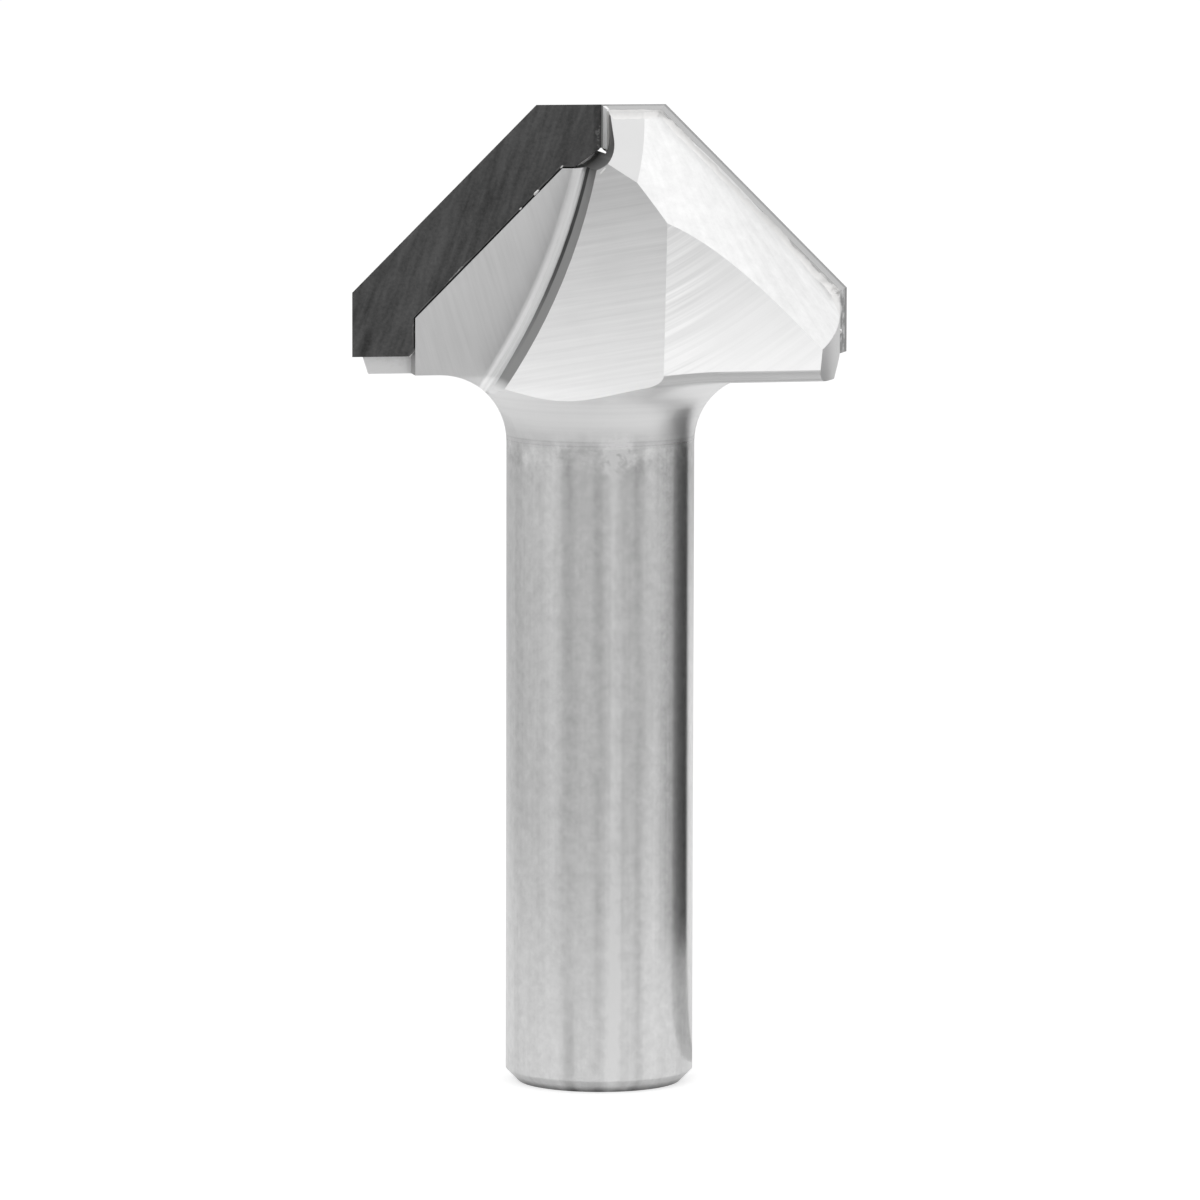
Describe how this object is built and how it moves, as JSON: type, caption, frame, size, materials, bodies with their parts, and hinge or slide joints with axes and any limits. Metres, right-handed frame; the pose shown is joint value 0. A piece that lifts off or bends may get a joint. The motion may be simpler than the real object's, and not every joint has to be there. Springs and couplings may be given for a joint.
{
  "type": "diamond grooving cutter",
  "caption": "Rotary V-groove cutter with a straight round shank and brazed diamond chevron tips on opposite wings, for right-angled grooves with a narrow flat bottom.",
  "frame": {"origin": "centre of the flat end of the shank, on the tool's axis", "axes": "+Z along the tool's axis from the shank to the cutting tips; +X across the wings, towards wing b; wing a's cutting face lies in y = 0 and faces -Y"},
  "size_m": [0.032, 0.0186, 0.0627],
  "materials": {
    "body_steel": "ground bright steel",
    "diamond": "lapped polycrystalline diamond, satin, near black",
    "carbide": "ground cemented carbide, satin grey",
    "braze": "silver braze as it froze, uneven"
  },
  "bodies": {
    "root": {"tool_body": "body_steel", "diamond_layer_a": "diamond", "diamond_layer_b": "diamond", "carbide_backing_a": "carbide", "carbide_backing_b": "carbide", "braze_seam_a": "braze", "braze_seam_b": "braze"}
  },
  "joints": []
}
